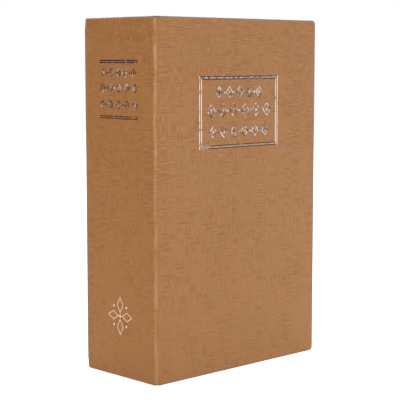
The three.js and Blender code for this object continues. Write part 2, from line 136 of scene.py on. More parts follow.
def seen_directly(tree):
    """1 for rays that show the backdrop: straight from the camera, in a reflection or through glass."""
    path = add_node(tree, "ShaderNodeLightPath")
    either = add_node(
        tree,
        "ShaderNodeMath",
        [(0, path.outputs["Is Camera Ray"]), (1, path.outputs["Is Glossy Ray"])],
        operation="MAXIMUM",
    )
    shown = add_node(
        tree,
        "ShaderNodeMath",
        [(0, either.outputs[0]), (1, path.outputs["Is Transmission Ray"])],
        operation="MAXIMUM",
    )
    return shown.outputs[0]


world_light = 0.2
backdrop = 1.0
world = bpy.data.worlds.new("white_studio")
bpy.context.scene.world = world
world.use_nodes = True
sky = world.node_tree
strength = add_node(
    sky,
    "ShaderNodeMapRange",
    [("Value", seen_directly(sky)), ("To Min", world_light), ("To Max", backdrop)],
)
sky.links.new(strength.outputs[0], sky.nodes["Background"].inputs["Strength"])
sky.nodes["Background"].inputs["Color"].default_value = (1, 1, 1, 1)

bpy.ops.object.select_all(action="DESELECT")
bpy.ops.mesh.primitive_plane_add(size=12, location=(0, 0, -0.0003))
floor = bpy.context.object
floor.name = "studio_floor"
floor_white = bpy.data.materials.new("floor_white")
floor_white.use_nodes = True
floor_tree = floor_white.node_tree
floor_tree.nodes.clear()
floor_paint = add_node(floor_tree, "ShaderNodeBsdfDiffuse", [("Color", (0.8, 0.8, 0.8, 1))])
glow_on_book = 0.34
glow_seen = 0.86
floor_glow = add_node(
    floor_tree,
    "ShaderNodeMapRange",
    [("Value", seen_directly(floor_tree)), ("To Min", glow_on_book), ("To Max", glow_seen)],
)
floor_lift = add_node(
    floor_tree,
    "ShaderNodeEmission",
    [("Color", (1, 1, 1, 1)), ("Strength", floor_glow.outputs[0])],
)
floor_sum = add_node(
    floor_tree,
    "ShaderNodeAddShader",
    [(0, floor_paint.outputs[0]), (1, floor_lift.outputs[0])],
)
add_node(floor_tree, "ShaderNodeOutputMaterial", [("Surface", floor_sum.outputs[0])])
floor.data.materials.append(floor_white)

# Boards: the two covers and the spine are stiffened by grey millboard, 2 mm thick. Only a narrow edge of
# it shows, inside the opened cover beside the joint. It is pulp pressed with dark and pale fibres in it.


def new_group(name, inputs, outputs):
    """A node group with its inputs as (name, kind, value) and its outputs as (name, kind)."""
    tree = bpy.data.node_groups.new(name, "ShaderNodeTree")
    for label, kind, value in inputs:
        socket = tree.interface.new_socket(label, in_out="INPUT", socket_type=kind)
        if value is not None:
            socket.default_value = value
    for label, kind in outputs:
        tree.interface.new_socket(label, in_out="OUTPUT", socket_type=kind)
    return tree, tree.nodes.new("NodeGroupInput").outputs


def add_group(tree, group, inputs=()):
    """Places a node group in a tree and returns its outputs."""
    made = tree.nodes.new("ShaderNodeGroup")
    made.node_tree = group
    for socket, value in inputs:
        if isinstance(value, bpy.types.NodeSocket):
            tree.links.new(value, made.inputs[socket])
        else:
            made.inputs[socket].default_value = value
    return made.outputs


def new_material(name, roughness, metallic=0.0, specular=0.5):
    """A material with its shader, and the object's coordinates for its patterns."""
    made = bpy.data.materials.new(name)
    made.use_nodes = True
    tree = made.node_tree
    shader = tree.nodes["Principled BSDF"]
    shader.inputs["Roughness"].default_value = roughness
    shader.inputs["Metallic"].default_value = metallic
    shader.inputs["Specular IOR Level"].default_value = specular
    place = tree.nodes.new("ShaderNodeTexCoord").outputs["Object"]
    return made, tree, shader, place


def two_tones(tree, shader, tone, dark, light):
    """Colours the surface between two shades, by a tone from 0 to 1."""
    shade = add_node(
        tree,
        "ShaderNodeMix",
        [("Factor", tone), (6, (*dark, 1)), (7, (*light, 1))],
        data_type="RGBA",
        clamp_factor=True,
    )
    tree.links.new(shade.outputs[2], shader.inputs["Base Color"])


def raised(tree, shader, height, depth, strength=1.0):
    """Gives the surface a relief of that depth, in metres."""
    relief = add_node(
        tree,
        "ShaderNodeBump",
        [("Height", height), ("Distance", depth), ("Strength", strength)],
    )
    tree.links.new(relief.outputs[0], shader.inputs["Normal"])


# Grain that most of the finishes share: soft speckle, drawn out along one axis where a stretch is given.
grain, grain_in = new_group(
    "grain",
    [
        ("Vector", "NodeSocketVector", None),
        ("Stretch", "NodeSocketVector", (1, 1, 1)),
        ("Scale", "NodeSocketFloat", 500.0),
        ("Contrast", "NodeSocketFloat", 0.5),
    ],
    [("Tone", "NodeSocketFloat")],
)
grain_place = add_node(
    grain,
    "ShaderNodeVectorMath",
    [(0, grain_in["Vector"]), (1, grain_in["Stretch"])],
    operation="MULTIPLY",
)
grain_noise = add_node(
    grain,
    "ShaderNodeTexNoise",
    [("Vector", grain_place.outputs[0]), ("Scale", grain_in["Scale"]), ("Detail", 3.0)],
)
grain_swing = add_node(
    grain,
    "ShaderNodeMath",
    [(0, grain_noise.outputs[0]), (1, 0.5)],
    operation="SUBTRACT",
)
grain_gain = add_node(
    grain,
    "ShaderNodeMath",
    [(0, grain_in["Contrast"]), (1, 6.0)],
    operation="MULTIPLY",
)
grain_tone = add_node(
    grain,
    "ShaderNodeMath",
    [(0, grain_swing.outputs[0]), (1, grain_gain.outputs[0]), (2, 0.5)],
    operation="MULTIPLY_ADD",
    use_clamp=True,
)
add_node(grain, "NodeGroupOutput", [(0, grain_tone.outputs[0])])


def dressed(names, material):
    """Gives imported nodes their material. They keep their own meshes."""
    for name in names:
        nodes[name].data.materials.clear()
        nodes[name].data.materials.append(material)


greyboard, board_tree, board_shader, board_place = new_material("greyboard", 0.9, specular=0.3)
board_fibres = add_group(
    board_tree,
    grain,
    [("Vector", board_place), ("Stretch", (1, 1, 0.35)), ("Scale", 1400.0), ("Contrast", 0.7)],
)
two_tones(board_tree, board_shader, board_fibres[0], (0.2, 0.185, 0.16), (0.34, 0.315, 0.28))
raised(board_tree, board_shader, board_fibres[0], 0.00008)
dressed(("front_board", "spine_board", "back_board"), greyboard)

# Covering: tan paper on the boards, pressed between rollers into small patches of fine upright or level
# threads, with short dark dashes where the press went deeper. Its tone is painted paler towards the foot
# and darker towards the head, as painted light, and its pattern is smoother towards the foot.
# Each cover and the spine has its own share of the sheet, turned in round the board's edges.

threads, threads_in = new_group(
    "pressed_threads",
    [
        ("Vector", "NodeSocketVector", None),
        ("Patches", "NodeSocketFloat", 100.0),
        ("Lines", "NodeSocketFloat", 2100.0),
    ],
    [("Tone", "NodeSocketFloat"), ("Height", "NodeSocketFloat")],
)
thread_axes = add_node(threads, "ShaderNodeSeparateXYZ", [(0, threads_in["Vector"])])
round_book = add_node(
    threads,
    "ShaderNodeMath",
    [(0, thread_axes.outputs["X"]), (1, thread_axes.outputs["Y"])],
    operation="SUBTRACT",
)
unrolled = add_node(
    threads,
    "ShaderNodeCombineXYZ",
    [("X", round_book.outputs[0]), ("Y", thread_axes.outputs["Z"])],
)

# The threads waver a little. Where each patch lies is drawn on the wavering coordinates as well.
drift_reach = 0.0008
drift = add_node(
    threads,
    "ShaderNodeTexNoise",
    [("Vector", unrolled.outputs[0]), ("Scale", 150.0), ("Detail", 1.0)],
    noise_dimensions="2D",
)
drift_middle = add_node(
    threads,
    "ShaderNodeVectorMath",
    [(0, drift.outputs["Color"]), (1, (0.5, 0.5, 0.5))],
    operation="SUBTRACT",
)
wavy = add_node(
    threads,
    "ShaderNodeVectorMath",
    [(0, drift_middle.outputs[0]), (1, (drift_reach, drift_reach, 0)), (2, unrolled.outputs[0])],
    operation="MULTIPLY_ADD",
)
patches = add_node(
    threads,
    "ShaderNodeTexVoronoi",
    [("Vector", wavy.outputs[0]), ("Scale", threads_in["Patches"])],
    voronoi_dimensions="2D",
    distance="CHEBYCHEV",
)
patch_draw = add_node(threads, "ShaderNodeSeparateColor", [(0, patches.outputs["Color"])])
level_patch = add_node(
    threads,
    "ShaderNodeMath",
    [(0, patch_draw.outputs["Red"]), (1, 0.5)],
    operation="GREATER_THAN",
)
patch_depth = add_node(
    threads,
    "ShaderNodeMapRange",
    [("Value", patch_draw.outputs["Green"]), ("To Min", 0.2), ("To Max", 0.95)],
)


def thread_lines(across, up):
    """Noise drawn out into lines: across and up say how often it changes, as shares of Lines."""
    spread = add_node(
        threads,
        "ShaderNodeVectorMath",
        [(0, wavy.outputs[0]), (1, (across, up, 0))],
        operation="MULTIPLY",
    )
    lines = add_node(
        threads,
        "ShaderNodeTexNoise",
        [("Vector", spread.outputs[0]), ("Scale", threads_in["Lines"]), ("Detail", 0.0)],
        noise_dimensions="2D",
    )
    return lines.outputs[0]


fine_lines = add_node(
    threads,
    "ShaderNodeMix",
    [("Factor", level_patch.outputs[0]), (2, thread_lines(1.0, 0.1)), (3, thread_lines(0.085, 1.0))],
    data_type="FLOAT",
)
line_swing = add_node(
    threads,
    "ShaderNodeMapRange",
    [
        ("Value", fine_lines.outputs[0]),
        ("From Min", 0.36),
        ("From Max", 0.64),
        ("To Min", -0.5),
        ("To Max", 0.5),
    ],
)
line_tone = add_node(
    threads,
    "ShaderNodeMath",
    [(0, line_swing.outputs[0]), (1, patch_depth.outputs[0])],
    operation="MULTIPLY",
)
level_dashes = add_node(
    threads,
    "ShaderNodeMapRange",
    [("Value", thread_lines(0.05, 0.72)), ("From Min", 0.68), ("From Max", 0.78)],
)
upright_dashes = add_node(
    threads,
    "ShaderNodeMapRange",
    [("Value", thread_lines(0.72, 0.06)), ("From Min", 0.71), ("From Max", 0.81)],
)
either_dashes = add_node(
    threads,
    "ShaderNodeMath",
    [(0, level_dashes.outputs[0]), (1, upright_dashes.outputs[0])],
    operation="MAXIMUM",
)
dashed_patch = add_node(
    threads,
    "ShaderNodeMapRange",
    [("Value", patch_draw.outputs["Green"]), ("From Min", 0.1), ("From Max", 0.6), ("To Min", 0.5)],
)
dashes = add_node(
    threads,
    "ShaderNodeMath",
    [(0, either_dashes.outputs[0]), (1, dashed_patch.outputs[0])],
    operation="MULTIPLY",
)
coarse_lines = add_node(
    threads,
    "ShaderNodeMix",
    [("Factor", level_patch.outputs[0]), (2, thread_lines(0.5, 0.055)), (3, thread_lines(0.05, 0.5))],
    data_type="FLOAT",
)
coarse_dark = add_node(
    threads,
    "ShaderNodeMapRange",
    [("Value", coarse_lines.outputs[0]), ("From Min", 0.56), ("From Max", 0.72)],
)
coarse_patch = add_node(
    threads,
    "ShaderNodeMapRange",
    [("Value", patch_draw.outputs["Blue"]), ("From Min", 0.35), ("From Max", 0.85)],
)
coarse_depth = add_node(
    threads,
    "ShaderNodeMath",
    [(0, coarse_dark.outputs[0]), (1, coarse_patch.outputs[0])],
    operation="MULTIPLY",
)

# The tone is that of broad clouds, with the fine lines, the dashes and the coarse lines in their shares.
cloud_share = 0.2
clouds_from = 0.47
line_share = 0.7
dash_share = -0.6
coarse_share = -0.33
dash_depth = -0.8
clouds = add_node(
    threads,
    "ShaderNodeTexNoise",
    [("Vector", unrolled.outputs[0]), ("Scale", 22.0), ("Detail", 2.0)],
    noise_dimensions="2D",
)
cloud_tone = add_node(
    threads,
    "ShaderNodeMath",
    [(0, clouds.outputs[0]), (1, cloud_share), (2, clouds_from)],
    operation="MULTIPLY_ADD",
)
clouded_lines = add_node(
    threads,
    "ShaderNodeMath",
    [(0, line_tone.outputs[0]), (1, line_share), (2, cloud_tone.outputs[0])],
    operation="MULTIPLY_ADD",
)
dashed_lines = add_node(
    threads,
    "ShaderNodeMath",
    [(0, dashes.outputs[0]), (1, dash_share), (2, clouded_lines.outputs[0])],
    operation="MULTIPLY_ADD",
)
thread_tone = add_node(
    threads,
    "ShaderNodeMath",
    [(0, coarse_depth.outputs[0]), (1, coarse_share), (2, dashed_lines.outputs[0])],
    operation="MULTIPLY_ADD",
)
thread_height = add_node(
    threads,
    "ShaderNodeMath",
    [(0, dashes.outputs[0]), (1, dash_depth), (2, line_tone.outputs[0])],
    operation="MULTIPLY_ADD",
)
add_node(
    threads,
    "NodeGroupOutput",
    [("Tone", thread_tone.outputs[0]), ("Height", thread_height.outputs[0])],
)

# Painted shade along a box's edges. Edges is 1 where two of its faces meet and fades inwards over the
# Widths along x, y and z. Ends is 1 at its foot and top, and Foot at its foot alone.
edge_shade_mask, edge_in = new_group(
    "edge_shade_mask",
    [
        ("Vector", "NodeSocketVector", None),
        ("Middle", "NodeSocketVector", (0, 0, 0)),
        ("Half size", "NodeSocketVector", (1, 1, 1)),
        ("Widths", "NodeSocketVector", (0.001, 0.001, 0.001)),
    ],
    [("Edges", "NodeSocketFloat"), ("Ends", "NodeSocketFloat"), ("Foot", "NodeSocketFloat")],
)
from_middle = add_node(
    edge_shade_mask,
    "ShaderNodeVectorMath",
    [(0, edge_in["Vector"]), (1, edge_in["Middle"])],
    operation="SUBTRACT",
)
how_far = add_node(
    edge_shade_mask, "ShaderNodeVectorMath", [(0, from_middle.outputs[0])], operation="ABSOLUTE"
)
inward = add_node(
    edge_shade_mask,
    "ShaderNodeVectorMath",
    [(0, edge_in["Half size"]), (1, how_far.outputs[0])],
    operation="SUBTRACT",
)
depths = add_node(edge_shade_mask, "ShaderNodeSeparateXYZ", [(0, inward.outputs[0])])
widths = add_node(edge_shade_mask, "ShaderNodeSeparateXYZ", [(0, edge_in["Widths"])])
near = []
for axis in "XYZ":
    closeness = add_node(
        edge_shade_mask,
        "ShaderNodeMapRange",
        [("Value", depths.outputs[axis]), ("From Min", widths.outputs[axis]), ("From Max", 0.0)],
        interpolation_type="SMOOTHSTEP",
    )
    near.append(closeness.outputs[0])
meetings = []
for first, second in ((0, 1), (1, 2), (2, 0)):
    meeting = add_node(
        edge_shade_mask, "ShaderNodeMath", [(0, near[first]), (1, near[second])], operation="MULTIPLY"
    )
    meetings.append(meeting.outputs[0])
two_edges = add_node(
    edge_shade_mask, "ShaderNodeMath", [(0, meetings[0]), (1, meetings[1])], operation="MAXIMUM"
)
all_edges = add_node(
    edge_shade_mask, "ShaderNodeMath", [(0, two_edges.outputs[0]), (1, meetings[2])], operation="MAXIMUM"
)
below_middle = add_node(edge_shade_mask, "ShaderNodeSeparateXYZ", [(0, from_middle.outputs[0])])
in_lower_half = add_node(
    edge_shade_mask,
    "ShaderNodeMath",
    [(0, below_middle.outputs["Z"]), (1, 0.0)],
    operation="LESS_THAN",
)
at_foot = add_node(
    edge_shade_mask, "ShaderNodeMath", [(0, near[2]), (1, in_lower_half.outputs[0])], operation="MULTIPLY"
)
add_node(
    edge_shade_mask,
    "NodeGroupOutput",
    [("Edges", all_edges.outputs[0]), ("Ends", near[2]), ("Foot", at_foot.outputs[0])],
)

book_low, book_high = cad_box
tan_dark, tan_light = (0.3, 0.114, 0.024), (0.408, 0.177, 0.052)
# The pale tan paints a highlight on the front joint's crest. The grey-browns paint shade and reflection
# where the edges turn away, darker at the joints' sunk ends. The near black paints a contact shadow along
# the foot.
joint_highlight_tan = (0.56, 0.31, 0.165, 1)
side_edge_shade = (0.255, 0.17, 0.108, 1)
top_edge_shade, joint_end_shade = (0.37, 0.3, 0.24, 1), (0.17, 0.125, 0.09, 1)
foot_contact_shadow = (0.05, 0.04, 0.036, 1)
edge_shade_widths = (0.0032, 0.0014, 0.0015)
# Painted light: the paper's tone is paler at the foot and darker at the head.
foot_light_tone, head_shade_tone = 0.65, 0.35
foot_contrast, head_contrast = 0.8, 1.4
press_depth = 0.0001


def mixed(tree, factor, first, second):
    """The first colour, turned into the second by a factor. Either is a socket or a colour."""
    mix = add_node(
        tree,
        "ShaderNodeMix",
        [("Factor", factor), (6, first), (7, second)],
        data_type="RGBA",
    )
    return mix.outputs[2]


def by_height(tree, height, at_foot, at_head):
    """A value that goes from one at the book's foot to another at its head."""
    ramp = add_node(
        tree,
        "ShaderNodeMapRange",
        [("Value", height), ("From Max", book_high.z), ("To Min", at_foot), ("To Max", at_head)],
    )
    return ramp.outputs[0]


def covering_finish(name, low, high, joint=False):
    """The tan paper, greyed along a box's edges by painted shade and reflection. A joint keeps its place,
    its painted highlight and its painted shade in attributes.
    """
    made, tree, shader, place = new_material(name, 0.6, specular=0.3)
    if joint:
        place = add_node(tree, "ShaderNodeAttribute", attribute_name="rest_place").outputs["Vector"]
    pressed = add_group(tree, threads, [("Vector", place)])
    height = add_node(tree, "ShaderNodeSeparateXYZ", [(0, place)]).outputs["Z"]
    # The tone is painted paler towards the foot, as painted light.
    painted_light_tone = by_height(tree, height, foot_light_tone, head_shade_tone)
    contrast = by_height(tree, height, foot_contrast, head_contrast)
    swing = add_node(tree, "ShaderNodeMath", [(0, pressed["Tone"]), (1, 0.5)], operation="SUBTRACT")
    tone = add_node(
        tree,
        "ShaderNodeMath",
        [(0, swing.outputs[0]), (1, contrast), (2, painted_light_tone)],
        operation="MULTIPLY_ADD",
    )
    two_tones(tree, shader, tone.outputs[0], tan_dark, tan_light)
    edge_shading = add_group(
        tree,
        edge_shade_mask,
        [
            ("Vector", place),
            ("Middle", (low + high) / 2),
            ("Half size", (high - low) / 2),
            ("Widths", edge_shade_widths),
        ],
    )
    uneven = add_group(
        tree,
        grain,
        [("Vector", place), ("Stretch", (1, 1, 0.3)), ("Scale", 260.0), ("Contrast", 0.4)],
    )
    mostly = add_node(tree, "ShaderNodeMapRange", [("Value", uneven[0]), ("To Min", 0.6)])
    end_edge_shade = joint_end_shade if joint else top_edge_shade
    upper_edge_shade = mixed(tree, edge_shading["Ends"], side_edge_shade, end_edge_shade)
    # At the foot the edges take a painted contact shadow.
    edge_shade_colour = mixed(tree, edge_shading["Foot"], upper_edge_shade, foot_contact_shadow)
    plain = shader.inputs["Base Color"].links[0].from_socket

    def in_patches(amount, share):
        product = add_node(tree, "ShaderNodeMath", [(0, amount), (1, share)], operation="MULTIPLY")
        return product.outputs[0]

    if joint:
        joint_shade = add_node(tree, "ShaderNodeAttribute", attribute_name="joint_shade").outputs["Fac"]
        joint_highlight = add_node(tree, "ShaderNodeAttribute", attribute_name="joint_highlight").outputs["Fac"]
        # The front fold's crest is painted pale, as a painted highlight.
        highlighted = mixed(tree, in_patches(joint_highlight, uneven[0]), plain, joint_highlight_tan)
        # Painted shade greys the back fold on the spine's side.
        along = mixed(tree, in_patches(joint_shade, mostly.outputs[0]), highlighted, side_edge_shade)
        # At the joints' ends the paper takes the painted edge shade, and at the foot a painted contact
        # shadow.
        colour = mixed(tree, edge_shading["Ends"], along, edge_shade_colour)
    else:
        # Painted shade and reflection grey the edges, in patches.
        colour = mixed(tree, in_patches(edge_shading["Edges"], mostly.outputs[0]), plain, edge_shade_colour)
    tree.links.new(colour, shader.inputs["Base Color"])
    raised(tree, shader, pressed["Height"], press_depth, 0.5)
    return made


tan_paper = covering_finish("tan_covering", book_low, book_high)
spine_corner = Vector((book_high.x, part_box("spine_wrap")[1].y, book_high.z))
spine_paper = covering_finish("tan_spine", book_low, spine_corner)


def finished_copy(node, name, body, material, angle=35):
    """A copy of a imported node, its triangles joined up, so that curves shade as curves."""
    bpy.ops.object.select_all(action="DESELECT")
    nodes[node].select_set(True)
    bpy.context.view_layer.objects.active = nodes[node]
    bpy.ops.object.duplicate()
    piece = bpy.context.object
    piece.name = name
    piece.parent = None
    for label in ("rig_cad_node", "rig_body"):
        if label in piece:
            del piece[label]
    bpy.ops.object.mode_set(mode="EDIT")
    bpy.ops.mesh.select_all(action="SELECT")
    bpy.ops.mesh.remove_doubles(threshold=0.000002)
    bpy.ops.mesh.tris_convert_to_quads()
    bpy.ops.object.mode_set(mode="OBJECT")
    bpy.ops.object.shade_smooth_by_angle(angle=math.radians(angle))
    flats = piece.modifiers.new("flats", "WEIGHTED_NORMAL")
    flats.keep_sharp = True
    bpy.ops.object.modifier_apply(modifier="flats")
    piece.data.materials.clear()
    piece.data.materials.append(material)
    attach(piece, body)
    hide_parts(node)
    return piece


for node, name, body, paper in (
    ("front_wrap", "front_covering", "front_cover", tan_paper),
    ("spine_wrap", "spine_covering", "book", spine_paper),
    ("back_wrap", "back_covering", "book", tan_paper),
):
    finished_copy(node, name, body, paper)

# Joints: the same paper, doubled by the lining behind it, runs round the two long corners of the spine.
# The front one is built where it lies with the book closed and is given no body here.

spine_low, spine_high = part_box("spine_wrap")
cover_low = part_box("front_wrap")[0]
spine_face, spine_start = spine_low.x, spine_low.y
cover_start, front_face = cover_low.x, cover_low.y
book_height = spine_high.z
joint_thickness = 0.001
joint_radius = spine_start - front_face
joint_edge_radius = 0.0009
end_margin = 0.0005

bpy.ops.object.select_all(action="DESELECT")
bpy.ops.mesh.primitive_grid_add(
    x_subdivisions=1,
    y_subdivisions=90,
    size=1,
    location=(spine_face + joint_thickness / 2, spine_start, book_height / 2),
    rotation=(math.pi / 2, 0, 0),
)
front_joint = bpy.context.object
front_joint.name = "front_joint_paper"
bpy.ops.transform.resize(value=(joint_thickness, 1, book_height))
bpy.ops.object.transform_apply(location=True, rotation=True, scale=True)
bpy.ops.object.mode_set(mode="EDIT")
bpy.ops.mesh.select_all(action="DESELECT")
bpy.ops.object.mode_set(mode="OBJECT")
for corner in front_joint.data.vertices:
    at_end = abs(corner.co.z - book_height / 2) > book_height / 2 - end_margin
    corner.select = at_end and corner.co.x < spine_face + joint_thickness / 2
bpy.ops.object.mode_set(mode="EDIT")
bpy.ops.mesh.bevel(offset=joint_edge_radius, segments=4, affect="VERTICES")
bpy.ops.mesh.select_all(action="SELECT")
bpy.ops.mesh.spin(
    steps=12,
    angle=-math.pi / 2,
    center=(spine_face + joint_radius, spine_start, 0),
    axis=(0, 0, 1),
)
flat_steps = 4
flat_step = (cover_start - spine_face - joint_radius) / flat_steps
for step in range(flat_steps):
    bpy.ops.mesh.extrude_region_move(TRANSFORM_OT_translate={"value": (flat_step, 0, 0)})
bpy.ops.mesh.select_all(action="SELECT")
bpy.ops.mesh.remove_doubles(threshold=0.000002)
bpy.ops.mesh.normals_make_consistent(inside=False)
bpy.ops.object.mode_set(mode="OBJECT")
bpy.ops.object.shade_smooth_by_angle(angle=math.radians(40))
joint_paper = covering_finish("tan_joint", book_low, book_high, joint=True)
front_joint.data.materials.append(joint_paper)

bpy.ops.object.duplicate()
back_joint = bpy.context.object
back_joint.name = "back_joint_paper"
bpy.ops.transform.resize(value=(1, -1, 1), center_override=(0, 0, 0))
bpy.ops.object.transform_apply(location=True, rotation=True, scale=True)
bpy.ops.object.mode_set(mode="EDIT")
bpy.ops.mesh.select_all(action="SELECT")
bpy.ops.mesh.normals_make_consistent(inside=False)
bpy.ops.object.mode_set(mode="OBJECT")

# At the book's head and tail no board fills the joints, so the paper sinks in and its ends draw back.
# Each point keeps where it lies with the book closed, how strong a painted highlight is round the front
# fold's crest, a little more at the head, and how far painted shade greys the back fold on the spine's
# side.
sunk_reach = 0.007
highlight_gain, highlight_towards_spine, highlight_towards_cover = 1.6, 1.35, 0.75
highlight_at_foot, highlight_more_at_head = 0.75, 0.3


def clamped(value):
    return max(0.0, min(1.0, value))


for joint, highlighted, sunk, head_dip, foot_dip in (
    (front_joint, 1.0, 0.0002, 0.0, 0.0003),
    (back_joint, 0.0, 0.001, 0.0022, 0.002),
):
    for label, kind in (("rest_place", "FLOAT_VECTOR"), ("joint_highlight", "FLOAT"), ("joint_shade", "FLOAT")):
        joint.data.attributes.new(label, kind, "POINT")
    places = joint.data.attributes["rest_place"]
    highlight_values = joint.data.attributes["joint_highlight"]
    joint_shade_values = joint.data.attributes["joint_shade"]
    for vertex in joint.data.vertices:
        off_spine = vertex.co.x - spine_face
        off_cover = abs(front_face) - abs(vertex.co.y)
        off_crest = max(highlight_towards_spine * off_spine, highlight_towards_cover * off_cover)
        joint_highlight = clamped(highlight_gain * (1 - off_crest / joint_radius))
        # The front fold takes a painted highlight round its crest.
        highlight_here = highlighted * (highlight_at_foot + highlight_more_at_head * vertex.co.z / book_height)
        highlight_values.data[vertex.index].value = highlight_here * joint_highlight
        # The back fold takes painted shade on the spine's side.
        joint_shade_values.data[vertex.index].value = (1 - highlighted) * clamped(2 - 2 * off_spine / joint_radius)
        crest = max(0.0, 1 - abs(off_spine - off_cover) / joint_radius)
        from_end = min(vertex.co.z, book_height - vertex.co.z)
        end = crest * max(0.0, 1 - from_end / sunk_reach) ** 2
        away = Vector((1, -math.copysign(1, vertex.co.y), 0)).normalized()
        dip = -head_dip if vertex.co.z > book_height / 2 else foot_dip
        vertex.co += sunk * end * away + Vector((0, 0, dip * end))
        places.data[vertex.index].vector = vertex.co

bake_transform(front_joint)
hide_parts("front_joint_strip")
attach(back_joint, "book")
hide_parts("back_joint_strip")

# Endpapers: plain cream paper pasted over the turned-in edges inside the front cover, and behind the page
# block on the spine and the back. It is uncoated, with faint long fibres.

endpaper, end_tree, end_shader, end_place = new_material("endpaper", 0.85, specular=0.3)
end_fibres = add_group(
    end_tree,
    grain,
    [("Vector", end_place), ("Stretch", (1, 1, 0.3)), ("Scale", 1500.0), ("Contrast", 0.5)],
)
two_tones(end_tree, end_shader, end_fibres[0], (0.79, 0.71, 0.56), (0.86, 0.785, 0.64))
raised(end_tree, end_shader, end_fibres[0], 0.00003)
dressed(("front_lining", "spine_lining", "back_lining"), endpaper)

# Front foil: silver foil stamped into the cover: two thin lines round a panel, and in it three rows of
# lozenges with beads between them. Where the die pressed unevenly, the foil is broken and dark. Along the
# panel's top and foot it also took between the two lines, and at the foot's left end all of it is dull.


def foil_finish(name, bare_share, speck_scale=430.0, silver=(0.62, 0.55, 0.52)):
    """Stamped silver. Over about the bare share of it the foil is gone and the paper is pressed dark."""
    made, tree, shader, place = new_material(name, 0.6, specular=0.12)
    specks = add_group(
        tree,
        grain,
        [("Vector", place), ("Scale", speck_scale), ("Contrast", 0.6)],
    )
    blur = 0.3
    kept = add_node(
        tree,
        "ShaderNodeMapRange",
        [("Value", specks[0]), ("From Min", bare_share - blur), ("From Max", bare_share + blur)],
    )
    two_tones(tree, shader, kept.outputs[0], (0.055, 0.018, 0.012), silver)
    shine = add_node(
        tree, "ShaderNodeMath", [(0, kept.outputs[0]), (1, 0.3)], operation="MULTIPLY"
    )
    tree.links.new(shine.outputs[0], shader.inputs["Metallic"])
    return made


fine_specks = 1300.0
whole_foil = foil_finish("silver_foil", 0.02, silver=(0.68, 0.6, 0.56))
broken_foil = foil_finish("broken_foil", 0.5)
worn_foil = foil_finish("worn_foil", 0.75)
dark_foil = foil_finish("dark_foil", 1.15)
speckled_foil = foil_finish("speckled_foil", 0.45, fine_specks, (0.52, 0.39, 0.31))
dull_foil = foil_finish("dull_foil", 0.0, fine_specks, (0.345, 0.235, 0.185))
cream_foil = foil_finish("cream_foil", -0.3, silver=(0.86, 0.65, 0.51))
foil_sunk = 0.0001
foil_depth = 0.00013
foil_line = 0.0005


def foil_shape(corners, centre, half_width, half_height, line, turn=0.0):
    """A flat polygon that faces -y, as an outline of that line width or, with 0, filled."""
    bpy.ops.object.select_all(action="DESELECT")
    bpy.ops.mesh.primitive_circle_add(vertices=corners, radius=1, fill_type="NGON")
    bpy.ops.transform.rotate(value=turn, orient_axis="Z", center_override=(0, 0, 0))
    bpy.ops.object.transform_apply(location=True, rotation=True, scale=True)
    bpy.ops.transform.resize(value=(half_width, half_height, 1), center_override=(0, 0, 0))
    bpy.ops.object.transform_apply(location=True, rotation=True, scale=True)
    shape = bpy.context.object
    if line:
        bpy.ops.object.mode_set(mode="EDIT")
        bpy.ops.mesh.select_all(action="SELECT")
        bpy.ops.mesh.inset(thickness=line)
        bpy.ops.mesh.delete(type="FACE")
        bpy.ops.object.mode_set(mode="OBJECT")
    for vertex in shape.data.vertices:
        vertex.co = (vertex.co.x + centre[0], 0, vertex.co.y + centre[1])
    return shape


def stamped(name, shapes, face, axis, body, material):
    """Joins flat shapes, gives them the foil's thickness and sets them on a face of the book."""
    bpy.ops.object.select_all(action="DESELECT")
    for shape in shapes:
        shape.select_set(True)
    bpy.context.view_layer.objects.active = shapes[0]
    bpy.ops.object.join()
    foil = bpy.context.object
    foil.name = name
    for vertex in foil.data.vertices:
        if axis == "y":
            vertex.co.y = face + foil_sunk
        else:
            vertex.co = (face + foil_sunk, -vertex.co.x, vertex.co.z)
    solidify = foil.modifiers.new("foil", "SOLIDIFY")
    solidify.thickness = foil_depth
    solidify.offset = 1
    bpy.ops.object.modifier_apply(modifier="foil")
    foil.data.materials.clear()
    foil.data.materials.append(material)
    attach(foil, body)
    return foil


square_turn = math.pi / 4
square_reach = math.sqrt(0.5)


def foil_bar(centre, width, height):
    half_width, half_height = width / 2 / square_reach, height / 2 / square_reach
    return foil_shape(4, centre, half_width, half_height, 0, square_turn)


kernel_share = 0.3


def lozenge_row(centre_x, centre_z, count, width, half_width, half_height, bead):
    """A row of lozenges, each with a kernel in it, and beads between them."""
    shapes = []
    kernel_width, kernel_height = half_width * kernel_share, half_height * kernel_share
    pitch = (width - 2 * half_width) / (count - 1)
    for i in range(count):
        x = centre_x - width / 2 + half_width + i * pitch
        shapes.append(foil_shape(4, (x, centre_z), half_width, half_height, foil_line))
        shapes.append(foil_shape(4, (x, centre_z), kernel_width, kernel_height, 0))
        if i < count - 1:
            shapes.append(foil_shape(12, (x + pitch / 2, centre_z), bead, bead, 0))
    return shapes


panel_left, panel_right, panel_foot, panel_top = -0.0288, 0.0278, 0.1148, 0.1511
panel_step = 0.0013
middle_x = (panel_left + panel_right) / 2
middle_z = (panel_foot + panel_top) / 2
foot_line = foil_line * 0.85
dull_length = 0.0055
fill_gap = 0.00005
upright_bars = []
top_bars = []
foot_bars = []
foot_fill = []
for inset in (foil_line / 2, panel_step + foil_line / 2):
    tall = panel_top - panel_foot - 2 * inset + foil_line
    wide = panel_right - panel_left - 2 * inset - foil_line
    for x in (panel_left + inset, panel_right - inset):
        upright_bars.append(foil_bar((x, middle_z), foil_line, tall))
    top_bars.append(foil_bar((middle_x, panel_top - inset), wide, foil_line))
    foot_z = panel_foot + inset
    dark_length = wide - dull_length
    foot_bars.append(foil_bar((middle_x + dull_length / 2, foot_z), dark_length, foot_line))
    foot_fill.append(foil_bar((middle_x - dark_length / 2, foot_z), dull_length, foot_line))
